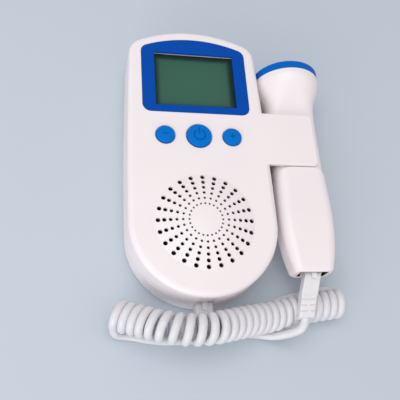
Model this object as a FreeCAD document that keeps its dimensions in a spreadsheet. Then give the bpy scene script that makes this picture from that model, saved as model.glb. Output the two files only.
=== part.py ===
import FreeCAD, Part
import math
import os
from types import SimpleNamespace
import Sketcher
from FreeCAD import Placement, Rotation, Vector

# A hand-held fetal doppler monitor lying on its back: a palm-sized main unit with a display, three
# buttons and a domed speaker grille, an ultrasound probe clipped in a holder at its right side, and
# the curly cord that joins the two. Millimetres. The origin is on the back face, under the centre of
# the speaker: +X to the probe, +Y to the display end, +Z out of the face.

# ---------------------------------------------------------------- driving dimensions

SIZES = {
    # case outline: a half circle round the speaker, long side arcs, a flatter top arc
    "case_radius": 33.5,
    "case_top": 102.0,
    "case_side_arc": 2000.0,
    "case_top_arc": 62.0,
    "case_corner": 9.0,
    "case_depth": 26.0,
    "parting_height": 13.6,
    "case_wall": 2.2,
    "front_wall": 2.2,
    "rear_wall": 2.2,
    "face_round": 2.4,
    "back_round": 2.6,
    "parting_bevel": 0.25,
    # speaker grille
    "dome_radius": 22.4,
    "dome_rise": 2.4,
    "dome_wall": 1.2,
    "first_ring": 7.47,
    "ring_pitch": 2.68,
    "first_hole": 1.0,
    "hole_growth": 0.22,
    # probe holder
    "jaw_thickness": 2.6,
    "jaw_past_axis": 8.0,
    "jaw_root": 3.4,
    "jaw_low": 29.0,
    "jaw_high": 56.4,
    "jaw_corner": 2.0,
    "jaw_edge_round": 0.6,
    "jaw_clearance": 0.3,
    # display
    "display_middle": 73.2,
    "window_width": 39.2,
    "window_height": 29.8,
    "window_thickness": 0.8,
    "window_margin": 2.0,
    "opening_margin": 0.6,
    "bezel_half_width": 25.8,
    "bezel_low": 54.5,
    "bezel_top": 96.6,
    "bezel_top_arc": 62.0,
    "bezel_corner": 4.0,
    "bezel_thickness": 0.8,
    "bezel_proud": 0.15,
    "seat_clearance": 0.12,
    "lcd_width": 42.0,
    "lcd_height": 33.0,
    "lcd_thickness": 2.0,
    "backlight_thickness": 1.1,
    # buttons
    "button_row": 42.2,
    "button_spacing": 15.8,
    "side_button_radius": 4.35,
    "power_button_radius": 5.85,
    "button_proud": 1.2,
    "button_flange": 1.0,
    "button_flange_thickness": 0.8,
    "button_clearance": 0.2,
    "button_seat": 0.1,
    "button_crown": 0.35,
    "button_edge_round": 0.4,
    "button_hole_bevel": 0.4,
    "switch_size": 6.0,
    "switch_height": 1.5,
    "plunger_radius": 1.5,
    "plunger_height": 0.6,
    # main board and its posts
    "board_top": 20.2,
    "board_thickness": 1.6,
    "board_half_width": 25.4,
    "board_low": 27.6,
    "board_high": 93.0,
    "board_notch": 0.5,
    "post_radius": 2.0,
    "post_side": 23.3,
    "post_low": 30.2,
    "post_high": 84.0,
    "board_screw_radius": 0.9,
    "board_screw_head": 1.8,
    "board_screw_head_height": 0.7,
    "board_screw_length": 4.2,
    "screw_clearance": 0.15,
    # case screws and bosses
    "boss_radius": 3.0,
    "boss_low_orbit": 28.4,
    "boss_top_side": 24.0,
    "boss_top_height": 91.6,
    "pilot_roof": 1.0,
    "case_screw_radius": 1.2,
    "case_screw_head": 2.2,
    "case_screw_head_height": 1.6,
    "case_screw_length": 16.0,
    "screw_recess": 2.4,
    # speaker
    "speaker_radius": 25.2,
    "speaker_flange": 1.4,
    "speaker_lip": 2.2,
    "gasket_thickness": 0.5,
    "basket_wall": 0.9,
    "basket_depth": 7.0,
    "basket_floor_radius": 12.0,
    "cone_gap": 0.5,
    "cone_rim_gap": 0.2,
    "cone_roll": 1.5,
    "cone_lift": 2.0,
    "cone_floor_radius": 6.6,
    "cone_thickness": 0.5,
    "magnet_radius": 11.0,
    "magnet_height": 4.5,
    # battery bay
    "bay_half_width": 15.6,
    "bay_low": 33.4,
    "bay_wall": 1.2,
    "bay_inside_top": 17.1,
    "door_clearance": 0.3,
    "door_thickness": 2.0,
    "door_inset": 0.2,
    "hinge_pin_radius": 0.6,
    "hinge_pin_clearance": 0.06,
    "hinge_pin_length": 1.4,
    "hinge_from_end": 1.1,
    "door_end_round": 0.9,
    "finger_notch_radius": 5.0,
    "finger_notch_depth": 0.8,
    "cell_radius": 7.1,
    "cell_length": 49.2,
    "cell_nub_radius": 2.75,
    "cell_nub_length": 1.3,
    "cell_gap": 0.5,
    "spring_room": 6.1,
    "contact_thickness": 0.4,
    "contact_width": 9.0,
    "spring_wire": 0.6,
    "spring_radius": 3.0,
    "spring_turns": 3.5,
    "spring_gap": 0.05,
    # cord plugs and sockets
    "plug_width": 7.7,
    "plug_thickness": 5.0,
    "plug_insertion": 11.0,
    "plug_clearance": 0.15,
    "plug_edge_round": 0.5,
    "latch_width": 2.2,
    "latch_thickness": 0.6,
    "latch_rise": 0.5,
    "latch_inside": 5.0,
    "latch_outside": 2.6,
    "socket_wall": 0.6,
    "socket_depth": 12.0,
    "socket_stand_back": 0.6,
    "unit_plug_height": 9.3,
    "boot_gap": 0.3,
    "unit_boot_length": 6.4,
    "unit_boot_width": 8.0,
    "boot_width": 7.4,
    "boot_thickness": 5.4,
    "boot_round": 0.9,
    "notch_depth": 0.8,
    "notch_top": 22.6,
    "reset_hole_radius": 0.5,
    "reset_hole_side": 16.7,
    "reset_hole_height": 5.1,
    "reset_hole_length": 9.0,
    "probe_plug_drop": 0.2,
    "probe_socket_gap": 0.2,
    "probe_plug_outside": 9.8,
    "probe_boot_length": 9.6,
    "plug_lean": 3.2,
    "boot_lean": 2.6,
    "groove_depth": 0.5,
    "groove_width": 0.7,
    "groove_pitch": 2.6,
    "groove_start": 1.8,
    "groove_bridge": 1.3,
    # curly cord
    "cord_diameter": 3.8,
    "coil_diameter": 14.0,
    # probe
    "head_tuck": 1.05,
    "probe_height": 17.5,
    "probe_wall": 1.9,
    "shoulder_gap": 0.4,
    "shoulder_corner": 8.0,
    "shoulder_half_width": 13.1,
    "neck_half_width": 12.2,
    "neck_corner": 4.6,
    "neck_root": 18.0,
    "handle_end": -22.1,
    "handle_bevel": 1.1,
    "head_radius": 16.75,
    "head_flat": 0.2,
    "head_low": 76.0,
    "head_high": 78.3,
    "cap_step": 0.05,
    "cap_band": 4.2,
    "cap_crown": 1.6,
    "cap_wall": 1.65,
    "cap_lip": 2.5,
    "cap_fit": 0.1,
    "cap_roof_gap": 0.3,
    "cap_round": 0.9,
    "lip_wall": 1.4,
    "crystal_inset": 0.5,
    "crystal_thickness": 1.2,
    "crystal_split": 1.0,
    "backing_fit": 0.65,
    "backing_thickness": 4.0,
    "mouth_margin": 2.5,
    "mouth_spread": 0.5,
    "mouth_headroom": 0.5,
    "probe_board_width": 15.0,
    "probe_board_low": 1.0,
    "probe_board_high": 45.0,
    "probe_board_thickness": 1.2,
    "probe_board_drop": 0.6,
    "rib_width": 11.0,
    "rib_thickness": 1.4,
    "rib_inset": 5.0,
    "socket_rib_place": -14.0,
    "probe_boss_radius": 2.4,
    "probe_boss_low": -3.6,
    "probe_boss_high": 50.0,
    "probe_screw_radius": 0.9,
    "probe_screw_head": 1.7,
    "probe_screw_head_height": 1.1,
    "probe_screw_recess": 1.2,
    "probe_screw_roof": 0.7,
    # how far a cutting tool runs past what it cuts
    "overcut": 1.0,
}

# tables of sizes: each row gives one value for each column
CHIP_COLUMNS = ("side", "up", "width", "length", "height")
CHIPS = {
    "processor": (-9.0, 31.2, 7.0, 5.0, 1.2),
    "amplifier": (9.0, 31.2, 5.0, 4.0, 1.1),
    "resonator": (0.0, 31.0, 4.4, 2.4, 1.0),
    "regulator": (0.0, 52.4, 6.4, 3.4, 1.4),
    "filter": (-14.0, 52.4, 4.0, 3.0, 0.9),
    "memory": (14.0, 52.4, 5.0, 4.0, 1.1),
}
SECTION_COLUMNS = ("along", "half_width", "half_depth", "corner")
HANDLE = {
    "handle_tip": (-21.0, 9.4, 6.4, 3.7),
    "handle_low": (-16.1, 10.7, 6.8, 4.0),
    "handle_swell": (-6.0, 12.5, 7.2, 4.6),
    "handle_middle": (5.0, 13.1, 7.3, 4.8),
    "handle_high": (16.0, 12.8, 7.2, 4.8),
    "handle_shoulder": (28.6, 12.4, 7.0, 4.7),
}
FLARE = {
    "flare_low": (62.0, 12.4, 7.2, 6.2),
    "flare_middle": (66.0, 13.1, 10.2, 9.3),
    "flare_high": (70.0, 14.8, 13.6, 12.9),
    "flare_top": (73.5, 16.2, 15.9, 15.5),
}
for columns, table in ((CHIP_COLUMNS, CHIPS), (SECTION_COLUMNS, HANDLE), (SECTION_COLUMNS, FLARE)):
    for row_name, row in table.items():
        SIZES.update({f"{row_name}_{column}": size for column, size in zip(columns, row)})

doc = FreeCAD.newDocument("fetal_doppler")
sheet = doc.addObject("Spreadsheet::Sheet", "Sizes")
for row, (name, value) in enumerate(SIZES.items(), start=1):
    sheet.set(f"A{row}", name)
    sheet.set(f"B{row}", str(value))
    sheet.setAlias(f"B{row}", name)
doc.recompute()


class Size:
    """A length that knows its value and the spreadsheet expression that gives it."""

    def __init__(self, value, formula):
        self.value = float(value)
        self.formula = formula

    def join(self, sign, other, value):
        return Size(value, f"({self.formula} {sign} {as_size(other).formula})")

    def __add__(self, other):
        return self.join("+", other, self.value + as_size(other).value)

    def __sub__(self, other):
        return self.join("-", other, self.value - as_size(other).value)

    def __mul__(self, other):
        return self.join("*", other, self.value * as_size(other).value)

    def __truediv__(self, other):
        return self.join("/", other, self.value / as_size(other).value)

    def __neg__(self):
        return Size(-self.value, f"(0 - {self.formula})")


def as_size(number):
    return number if isinstance(number, Size) else Size(number, f"({float(number)})")


mm = SimpleNamespace(**{name: sheet.get(name) for name in SIZES})
d = SimpleNamespace(**{name: Size(sheet.get(name), "Sizes." + name) for name in SIZES})
ZERO = as_size(0)
NEAR = 1e-3
nodes = []


def keep(label, item):
    """Make an object one of the part's nodes, under the name its file takes."""
    item.Label = label
    nodes.append(item)
    return item


# ---------------------------------------------------------------- primitives bound to the sheet

def put(item, x, y, z):
    for axis, size in zip("xyz", (x, y, z)):
        item.setExpression("Placement.Base." + axis, as_size(size).formula)
    return item


def box(name, wide, long, high, x, y, z):
    item = doc.addObject("Part::Box", name)
    for prop, size in (("Length", wide), ("Width", long), ("Height", high)):
        item.setExpression(prop, as_size(size).formula)
    return put(item, x, y, z)


TURNS = {
    "X": Rotation(Vector(0, 1, 0), 90),
    "Y": Rotation(Vector(1, 0, 0), -90),
    "Z": Rotation(),
}


def cylinder(name, radius, high, x, y, z, axis="Z"):
    item = doc.addObject("Part::Cylinder", name)
    item.Placement.Rotation = TURNS[axis]
    item.setExpression("Radius", as_size(radius).formula)
    item.setExpression("Height", as_size(high).formula)
    return put(item, x, y, z)


def fuse(name, parts):
    item = doc.addObject("Part::MultiFuse", name)
    item.Shapes = parts
    item.Refine = True
    return item


def cut(name, base, tools):
    tool = tools[0] if len(tools) == 1 else fuse(name + "_tools", tools)
    item = doc.addObject("Part::Cut", name)
    item.Base = base
    item.Tool = tool
    item.Refine = True
    return item


def group(name, parts):
    item = doc.addObject("Part::Compound", name)
    item.Links = parts
    return item


def edges_where(shape, test):
    return [i for i, edge in enumerate(shape.Edges, start=1) if test(edge)]


def round_edges(name, base, radius, test):
    """Round the edges of a primitive or boolean that pass a test of their bounds."""
    doc.recompute()
    item = doc.addObject("Part::Fillet", name)
    item.Base = base
    item.Edges = [(i, radius.value, radius.value) for i in edges_where(base.Shape, test)]
    return item


def shaped(name, shape):
    item = doc.addObject("Part::Feature", name)
    item.Shape = shape
    return item


# ---------------------------------------------------------------- tubes

BEND_SHARE = 0.45


def tube_path(points):
    """A wire of straight runs joined by tangent arcs, as large as the runs allow, and the arcs' radii."""
    corners = [Vector(*point) for point in points]
    edges = []
    radii = []
    start = corners[0]
    for before, corner, after in zip(corners, corners[1:], corners[2:]):
        back = (before - corner).normalize()
        onward = (after - corner).normalize()
        half_turn = (math.pi - back.getAngle(onward)) / 2
        reach = BEND_SHARE * min(before.distanceToPoint(corner), after.distanceToPoint(corner))
        radius = reach / math.tan(half_turn)
        inward = (back + onward).normalize()
        middle = corner + inward * (radius / math.cos(half_turn) - radius)
        edges.append(Part.LineSegment(start, corner + back * reach).toShape())
        edges.append(Part.Arc(corner + back * reach, middle, corner + onward * reach).toShape())
        start = corner + onward * reach
        radii.append(round(radius, 1))
    edges.append(Part.LineSegment(start, corners[-1]).toShape())
    return Part.Wire(edges), radii


def tube(points, diameter):
    """A round tube along such a wire."""
    path, _ = tube_path(points)
    first, second = (Vector(*point) for point in points[:2])
    ring = Part.Circle(first, second - first, diameter / 2)
    return path.makePipeShell([Part.Wire([ring.toShape()])], True, False)


# ---------------------------------------------------------------- bodies and sketches

def new_body(name):
    return doc.addObject("PartDesign::Body", name)


def origin_feature(body, role):
    return next(item for item in body.Origin.OriginFeatures if item.Role == role)


def new_sketch(body, name, plane="XY_Plane", offset=ZERO):
    sketch = body.newObject("Sketcher::SketchObject", name)
    sketch.AttachmentSupport = [(origin_feature(body, plane), "")]
    sketch.MapMode = "FlatFace"
    sketch.setExpression("AttachmentOffset.Base.z", offset.formula)
    return sketch


def dimension(sketch, kind, *args):
    """Add a dimension whose last argument is a Size, and bind it to the sheet."""
    size = args[-1]
    index = sketch.addConstraint(Sketcher.Constraint(kind, *args[:-1], size.value))
    sketch.setExpression(f"Constraints[{index}]", size.formula)


def add_circle(sketch, x, y, radius):
    centre = Vector(x.value, y.value, 0)
    index = sketch.addGeometry(Part.Circle(centre, Vector(0, 0, 1), radius.value), False)
    dimension(sketch, "Radius", index, radius)
    for kind, size in (("DistanceX", x), ("DistanceY", y)):
        dimension(sketch, kind, -1, 1, index, 3, size)
    return index


def add_polygon(sketch, corners):
    """A closed outline of straight lines, every corner dimensioned from the origin."""
    points = [Vector(x.value, y.value, 0) for x, y in corners]
    first = sketch.GeometryCount
    for i, point in enumerate(points):
        sketch.addGeometry(Part.LineSegment(point, points[(i + 1) % len(points)]), False)
    for i, (x, y) in enumerate(corners):
        after = first + (i + 1) % len(points)
        sketch.addConstraint(Sketcher.Constraint("Coincident", first + i, 2, after, 1))
        dimension(sketch, "DistanceX", -1, 1, first + i, 1, x)
        dimension(sketch, "DistanceY", -1, 1, first + i, 1, y)
    return first


def add_rectangle(sketch, x_low, x_high, y_low, y_high):
    return add_polygon(sketch, [(x_low, y_low), (x_high, y_low), (x_high, y_high), (x_low, y_high)])


def pad(body, name, sketch, length, reverse=False):
    item = body.newObject("PartDesign::Pad", name)
    item.Profile = sketch
    item.setExpression("Length", as_size(length).formula)
    item.Reversed = reverse
    return item


def pocket(body, name, sketch, length, reverse=False):
    item = body.newObject("PartDesign::Pocket", name)
    item.Profile = sketch
    item.setExpression("Length", as_size(length).formula)
    item.Reversed = reverse
    return item


def revolve(body, name, sketch, kind="PartDesign::Revolution"):
    """Turn a sketch on the XZ plane about its vertical axis."""
    item = body.newObject(kind, name)
    item.Profile = sketch
    item.ReferenceAxis = (sketch, ["V_Axis"])
    item.Angle = 360
    return item


def fillet(body, name, base, radius, test):
    doc.recompute()
    item = body.newObject("PartDesign::Fillet", name)
    item.Base = (base, [f"Edge{i}" for i in edges_where(base.Shape, test)])
    item.setExpression("Radius", radius.formula)
    return item


def chamfer(body, name, base, size, test):
    doc.recompute()
    item = body.newObject("PartDesign::Chamfer", name)
    item.Base = (base, [f"Edge{i}" for i in edges_where(base.Shape, test)])
    item.setExpression("Size", size.formula)
    return item


def at_height(z):
    """An edge test: the whole edge lies in the plane at height z."""
    return lambda edge: max(abs(edge.BoundBox.ZMin - z), abs(edge.BoundBox.ZMax - z)) < NEAR


# ---------------------------------------------------------------- outlines

def meet(centre_a, radius_a, centre_b, radius_b):
    """The crossing of two circles that has the larger x and y."""
    gap = centre_b - centre_a
    along = (radius_a ** 2 - radius_b ** 2 + gap.Length ** 2) / (2 * gap.Length)
    across = math.sqrt(radius_a ** 2 - along ** 2)
    unit = gap / gap.Length
    options = [centre_a + unit * along + Vector(-unit.y, unit.x, 0) * side for side in (across, -across)]
    return max(options, key=lambda point: point.x + point.y)


def arc(centre, radius, start, end):
    """The arc of a circle that runs anticlockwise from one point to another."""
    angles = [math.atan2(point.y - centre.y, point.x - centre.x) for point in (start, end)]
    circle = Part.Circle(centre, Vector(0, 0, 1), radius)
    return Part.ArcOfCircle(circle, angles[0], angles[1])


def add_case_outline(sketch, inset):
    """The case's outline, moved in by the inset: six arcs, each tangent to the next."""
    bottom = d.case_radius - inset
    side = d.case_side_arc - inset
    top = d.case_top_arc - inset
    corner = d.case_corner - inset
    side_centre = Vector((d.case_radius - d.case_side_arc).value, 0, 0)
    top_centre = Vector(0, (d.case_top - d.case_top_arc).value, 0)
    corner_centre = meet(side_centre, (d.case_side_arc - d.case_corner).value,
                         top_centre, (d.case_top_arc - d.case_corner).value)
    side_end = side_centre + (corner_centre - side_centre).normalize() * side.value
    top_end = top_centre + (corner_centre - top_centre).normalize() * top.value

    def left(point):
        return Vector(-point.x, point.y, 0)

    right_low = Vector(bottom.value, 0, 0)
    arcs = [
        (Vector(), bottom, left(right_low), right_low),
        (side_centre, side, right_low, side_end),
        (corner_centre, corner, side_end, top_end),
        (top_centre, top, top_end, left(top_end)),
        (left(corner_centre), corner, left(top_end), left(side_end)),
        (left(side_centre), side, left(side_end), left(right_low)),
    ]
    first = sketch.GeometryCount
    for centre, radius, start, end in arcs:
        sketch.addGeometry(arc(centre, radius.value, start, end), False)
    for i in range(len(arcs)):
        after = first + (i + 1) % len(arcs)
        sketch.addConstraint(Sketcher.Constraint("Tangent", first + i, 2, after, 1))
    sketch.addConstraint(Sketcher.Constraint("Coincident", first, 3, -1, 1))
    sketch.addConstraint(Sketcher.Constraint("PointOnObject", first + 1, 3, -1))
    sketch.addConstraint(Sketcher.Constraint("PointOnObject", first + 5, 3, -1))
    sketch.addConstraint(Sketcher.Constraint("PointOnObject", first + 3, 3, -2))
    dimension(sketch, "DistanceY", -1, 1, first + 3, 3, d.case_top - d.case_top_arc)
    for i, (_, radius, _, _) in enumerate(arcs):
        dimension(sketch, "Radius", first + i, radius)


def bezel_wire(inset, z):
    """The bezel's outline at a height: straight low edge and sides, arched top, rounded corners."""
    half = d.bezel_half_width.value - inset
    low = d.bezel_low.value + inset
    top = d.bezel_top.value - inset
    arch = d.bezel_top_arc.value - inset
    shoulder = top - arch + math.sqrt(arch ** 2 - half ** 2)
    edges = [
        Part.LineSegment(Vector(-half, low, z), Vector(half, low, z)).toShape(),
        Part.LineSegment(Vector(half, low, z), Vector(half, shoulder, z)).toShape(),
        Part.Arc(Vector(half, shoulder, z), Vector(0, top, z), Vector(-half, shoulder, z)).toShape(),
        Part.LineSegment(Vector(-half, shoulder, z), Vector(-half, low, z)).toShape(),
    ]
    return Part.Wire(edges)


def bezel_block(inset, low, high):
    """A solid of the bezel's outline between two heights, its upright edges rounded."""
    solid = Part.Face(bezel_wire(inset, low)).extrude(Vector(0, 0, high - low))
    upright = [edge for edge in solid.Edges if edge.BoundBox.ZLength > (high - low) / 2]
    return solid.makeFillet(d.bezel_corner.value - inset, upright)


# ---------------------------------------------------------------- places worked out from the sizes

front_inside = d.case_depth - d.front_wall
bay_high = d.bay_low + d.contact_thickness * 2 + d.cell_nub_length + d.cell_length + d.spring_room
probe_side = d.case_radius + d.head_radius - d.head_tuck
jaw_reach = probe_side + d.jaw_past_axis
cap_radius = (d.head_radius + d.cap_step).value
boss_low_offset = d.boss_low_orbit * math.sqrt(0.5)
boss_places = [
    (-boss_low_offset, -boss_low_offset),
    (boss_low_offset, -boss_low_offset),
    (-d.boss_top_side, d.boss_top_height),
    (d.boss_top_side, d.boss_top_height),
]
post_places = [(side, height) for side in (-d.post_side, d.post_side) for height in (d.post_low, d.post_high)]
button_places = [
    ("button_left", -d.button_spacing, d.side_button_radius),
    ("button_power", ZERO, d.power_button_radius),
    ("button_right", d.button_spacing, d.side_button_radius),
]
plug_room = d.plug_thickness / 2 + d.plug_clearance
latch_room = plug_room + d.latch_rise + d.latch_thickness
mouth_half = d.plug_width / 2 + d.plug_clearance
neck_half_depth = d.case_depth - d.jaw_thickness - d.jaw_clearance - d.probe_height
probe_pilot_depth = neck_half_depth * 2 - d.probe_screw_recess - d.probe_screw_head_height - d.probe_screw_roof
back_jaw_top = d.probe_height - neck_half_depth - d.jaw_clearance
bezel_floor = d.case_depth - d.bezel_thickness
board_low_face = d.board_top - d.board_thickness
dome_sphere = (d.dome_radius * d.dome_radius + d.dome_rise * d.dome_rise) / (d.dome_rise * 2)


# ---------------------------------------------------------------- front shell

def add_dome_profile(sketch, drop, height):
    """Half of the grille's lens: a spherical cap over its flat base, lowered by the drop."""
    sphere = dome_sphere.value - drop.value
    base = height.value
    centre_y = (d.case_depth + d.dome_rise - dome_sphere).value
    reach = math.sqrt(sphere ** 2 - (base - centre_y) ** 2)
    centre = Vector(0, centre_y, 0)
    peak = Vector(0, centre_y + sphere, 0)
    rim = Vector(reach, base, 0)
    foot = Vector(0, base, 0)
    first = sketch.GeometryCount
    sketch.addGeometry(arc(centre, sphere, rim, peak), False)
    sketch.addGeometry(Part.LineSegment(peak, foot), False)
    sketch.addGeometry(Part.LineSegment(foot, rim), False)
    for a, a_end, b, b_end in ((0, 2, 1, 1), (1, 2, 2, 1), (2, 2, 0, 1)):
        sketch.addConstraint(Sketcher.Constraint("Coincident", first + a, a_end, first + b, b_end))
    sketch.addConstraint(Sketcher.Constraint("PointOnObject", first, 3, -2))
    sketch.addConstraint(Sketcher.Constraint("PointOnObject", first + 1, 1, -2))
    sketch.addConstraint(Sketcher.Constraint("PointOnObject", first + 1, 2, -2))
    sketch.addConstraint(Sketcher.Constraint("Horizontal", first + 2))
    dimension(sketch, "Radius", first, dome_sphere - drop)
    dimension(sketch, "DistanceY", -1, 1, first, 3, d.case_depth + d.dome_rise - dome_sphere)
    dimension(sketch, "DistanceY", -1, 1, first + 1, 2, height)


def button_hole_rim(edge):
    bounds = edge.BoundBox
    in_face = abs(bounds.ZMin - mm.case_depth) < NEAR
    return in_face and abs(bounds.Center.y - mm.button_row) < mm.side_button_radius / 2


GRILLE_RINGS = 6
GRILLE_SPOKES = 24


def jaw_corner(edge):
    bounds = edge.BoundBox
    return bounds.ZLength > mm.jaw_thickness / 2 and bounds.XMin > jaw_reach.value - NEAR


def jaw_rim(edge):
    bounds = edge.BoundBox
    return bounds.ZLength < NEAR and bounds.XMax > probe_side.value


def holder_jaw(name, top):
    """A jaw of the probe holder: a plate rooted in the case's side wall, its free edges rounded."""
    root = d.case_radius - d.jaw_root
    plate = box(name + "_plate", jaw_reach - root, d.jaw_high - d.jaw_low, d.jaw_thickness, root, d.jaw_low,
                top - d.jaw_thickness)
    plate = round_edges(name + "_corners", plate, d.jaw_corner, jaw_corner)
    return round_edges(name + "_rims", plate, d.jaw_edge_round, jaw_rim)


front = new_body("FrontShell")
outline = new_sketch(front, "front_outline", offset=d.parting_height)
add_case_outline(outline, ZERO)
front_block = pad(front, "front_block", outline, d.case_depth - d.parting_height)
front_round = fillet(front, "front_round", front_block, d.face_round, at_height(mm.case_depth))
chamfer(front, "front_parting_bevel", front_round, d.parting_bevel, at_height(mm.parting_height))
hollow = new_sketch(front, "front_hollow_outline", offset=d.parting_height)
add_case_outline(hollow, d.case_wall)
pocket(front, "front_hollow", hollow, front_inside - d.parting_height, reverse=True)
lens = new_sketch(front, "dome_outside_profile", "XZ_Plane")
add_dome_profile(lens, ZERO, d.case_depth)
revolve(front, "dome_outside", lens)
lens = new_sketch(front, "dome_inside_profile", "XZ_Plane")
add_dome_profile(lens, d.dome_wall, front_inside)
revolve(front, "dome_inside", lens, "PartDesign::Groove")
bosses = new_sketch(front, "front_boss_outlines", offset=d.parting_height)
for x, y in boss_places:
    add_circle(bosses, x, y, d.boss_radius)
pad(front, "front_bosses", bosses, front_inside - d.parting_height)
pilots = new_sketch(front, "front_pilot_outlines", offset=d.parting_height)
for x, y in boss_places:
    add_circle(pilots, x, y, d.case_screw_radius)
pocket(front, "front_pilots", pilots, front_inside - d.parting_height - d.pilot_roof, reverse=True)
posts = new_sketch(front, "front_post_outlines", offset=d.board_top)
for x, y in post_places:
    add_circle(posts, x, y, d.post_radius)
pad(front, "front_posts", posts, front_inside - d.board_top)
pilots = new_sketch(front, "post_pilot_outlines", offset=d.board_top)
for x, y in post_places:
    add_circle(pilots, x, y, d.board_screw_radius)
pocket(front, "post_pilots", pilots, front_inside - d.board_top, reverse=True)
holes = new_sketch(front, "button_hole_outlines", offset=d.case_depth)
for _, x, radius in button_places:
    add_circle(holes, x, d.button_row, radius + d.button_clearance)
button_holes = pocket(front, "button_holes", holes, d.front_wall + d.overcut)
chamfer(front, "button_hole_bevels", button_holes, d.button_hole_bevel, button_hole_rim)
for name, margin, depth in (
    ("display_opening", d.opening_margin, d.front_wall + d.overcut),
    ("window_recess", d.window_margin + d.seat_clearance, d.bezel_thickness + d.window_thickness),
):
    half_width = d.window_width / 2 + margin
    half_height = d.window_height / 2 + margin
    opening = new_sketch(front, name + "_outline", offset=d.case_depth)
    add_rectangle(opening, -half_width, half_width,
                  d.display_middle - half_height, d.display_middle + half_height)
    pocket(front, name, opening, depth)
spoke = new_sketch(front, "grille_spoke", offset=d.case_depth + d.dome_rise + d.overcut)
for ring in range(GRILLE_RINGS):
    add_circle(spoke, ZERO, d.first_ring + d.ring_pitch * ring, (d.first_hole + d.hole_growth * ring) / 2)
spoke_holes = pocket(front, "grille_spoke_holes", spoke, d.dome_rise + d.front_wall + d.overcut * 2)
doc.recompute()
grille = front.newObject("PartDesign::PolarPattern", "grille")
grille.Originals = [spoke_holes]
grille.Axis = (origin_feature(front, "Z_Axis"), [""])
grille.Angle = 360
grille.Occurrences = GRILLE_SPOKES
front.Tip = grille
doc.recompute()

# the bezel lies in a recess of its own outline, and a shallow notch below the face clears the plug's latch
recess_top = mm.case_depth + mm.overcut
bezel_recess = shaped("bezel_recess", bezel_block(-mm.seat_clearance, bezel_floor.value, recess_top))
latch_notch = box("latch_notch", mouth_half * 2, d.notch_depth + d.overcut,
                  d.notch_top - d.parting_height + d.overcut,
                  -mouth_half, -d.case_radius - d.overcut, d.parting_height - d.overcut)
front_with_jaw = fuse("front_with_jaw", [front, holder_jaw("front_jaw", d.case_depth)])
keep("front_shell", cut("front_shell_cut", front_with_jaw, [bezel_recess, latch_notch]))

# ---------------------------------------------------------------- rear shell

rear = new_body("RearShell")
outline = new_sketch(rear, "rear_outline")
add_case_outline(outline, ZERO)
rear_block = pad(rear, "rear_block", outline, d.parting_height)
rear_round = fillet(rear, "rear_round", rear_block, d.back_round, at_height(0))
chamfer(rear, "rear_parting_bevel", rear_round, d.parting_bevel, at_height(mm.parting_height))
hollow = new_sketch(rear, "rear_hollow_outline", offset=d.rear_wall)
add_case_outline(hollow, d.case_wall)
pocket(rear, "rear_hollow", hollow, d.parting_height, reverse=True)
bay = new_sketch(rear, "bay_outline", offset=d.rear_wall)
add_rectangle(bay, -d.bay_half_width - d.bay_wall, d.bay_half_width + d.bay_wall,
              d.bay_low - d.bay_wall, bay_high + d.bay_wall)
pad(rear, "bay_block", bay, d.bay_inside_top + d.bay_wall - d.rear_wall)
bay = new_sketch(rear, "bay_inside_outline")
add_rectangle(bay, -d.bay_half_width, d.bay_half_width, d.bay_low, bay_high)
pocket(rear, "bay_inside", bay, d.bay_inside_top, reverse=True)
bosses = new_sketch(rear, "rear_boss_outlines", offset=d.rear_wall)
for x, y in boss_places:
    add_circle(bosses, x, y, d.boss_radius)
pad(rear, "rear_bosses", bosses, d.parting_height - d.rear_wall)
for name, radius, depth in (
    ("case_screw_holes", d.case_screw_radius + d.screw_clearance, d.parting_height),
    ("case_screw_recesses", d.case_screw_head + d.screw_clearance, d.screw_recess + d.case_screw_head_height),
):
    holes = new_sketch(rear, name + "_outlines")
    for x, y in boss_places:
        add_circle(holes, x, y, radius)
    pocket(rear, name, holes, depth, reverse=True)
hinge_y = d.bay_low + d.door_clearance + d.hinge_from_end
hinge_z = d.door_inset + d.door_thickness / 2
cord_mouth = box("cord_mouth", mouth_half * 2, d.case_wall * 2 + d.overcut, d.parting_height, -mouth_half,
                 -d.case_radius - d.overcut, d.unit_plug_height - plug_room)
reset_hole = cylinder("reset_hole", d.reset_hole_radius, d.reset_hole_length, -d.reset_hole_side,
                      -d.case_radius, d.reset_hole_height, "Y")
hinge_bores = cylinder("hinge_bores", d.hinge_pin_radius + d.hinge_pin_clearance,
                       (d.bay_half_width + d.hinge_pin_length) * 2,
                       -d.bay_half_width - d.hinge_pin_length, hinge_y, hinge_z, "X")
rear_with_jaw = fuse("rear_with_jaw", [rear, holder_jaw("back_jaw", back_jaw_top)])
keep("rear_shell", cut("rear_shell_cut", rear_with_jaw, [cord_mouth, reset_hole, hinge_bores]))

# ---------------------------------------------------------------- display

bezel_blank = shaped("bezel_blank", bezel_block(0, bezel_floor.value, mm.case_depth + mm.bezel_proud))
window_low = d.display_middle - d.window_height / 2
bezel_opening = box("bezel_opening", d.window_width, d.window_height, d.bezel_thickness + d.overcut * 2,
                    -d.window_width / 2, window_low, bezel_floor - d.overcut)
keep("display_bezel", cut("bezel_cut", bezel_blank, [bezel_opening]))
keep("display_window", box("window", d.window_width + d.window_margin * 2,
                           d.window_height + d.window_margin * 2, d.window_thickness,
                           -d.window_width / 2 - d.window_margin, window_low - d.window_margin,
                           bezel_floor - d.window_thickness))
lcd_low = d.display_middle - d.lcd_height / 2
keep("lcd_backlight", box("backlight", d.lcd_width, d.lcd_height, d.backlight_thickness,
                          -d.lcd_width / 2, lcd_low, d.board_top))
keep("lcd_panel", box("lcd", d.lcd_width, d.lcd_height, d.lcd_thickness, -d.lcd_width / 2, lcd_low,
                      d.board_top + d.backlight_thickness))

# ---------------------------------------------------------------- buttons and their switches

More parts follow.
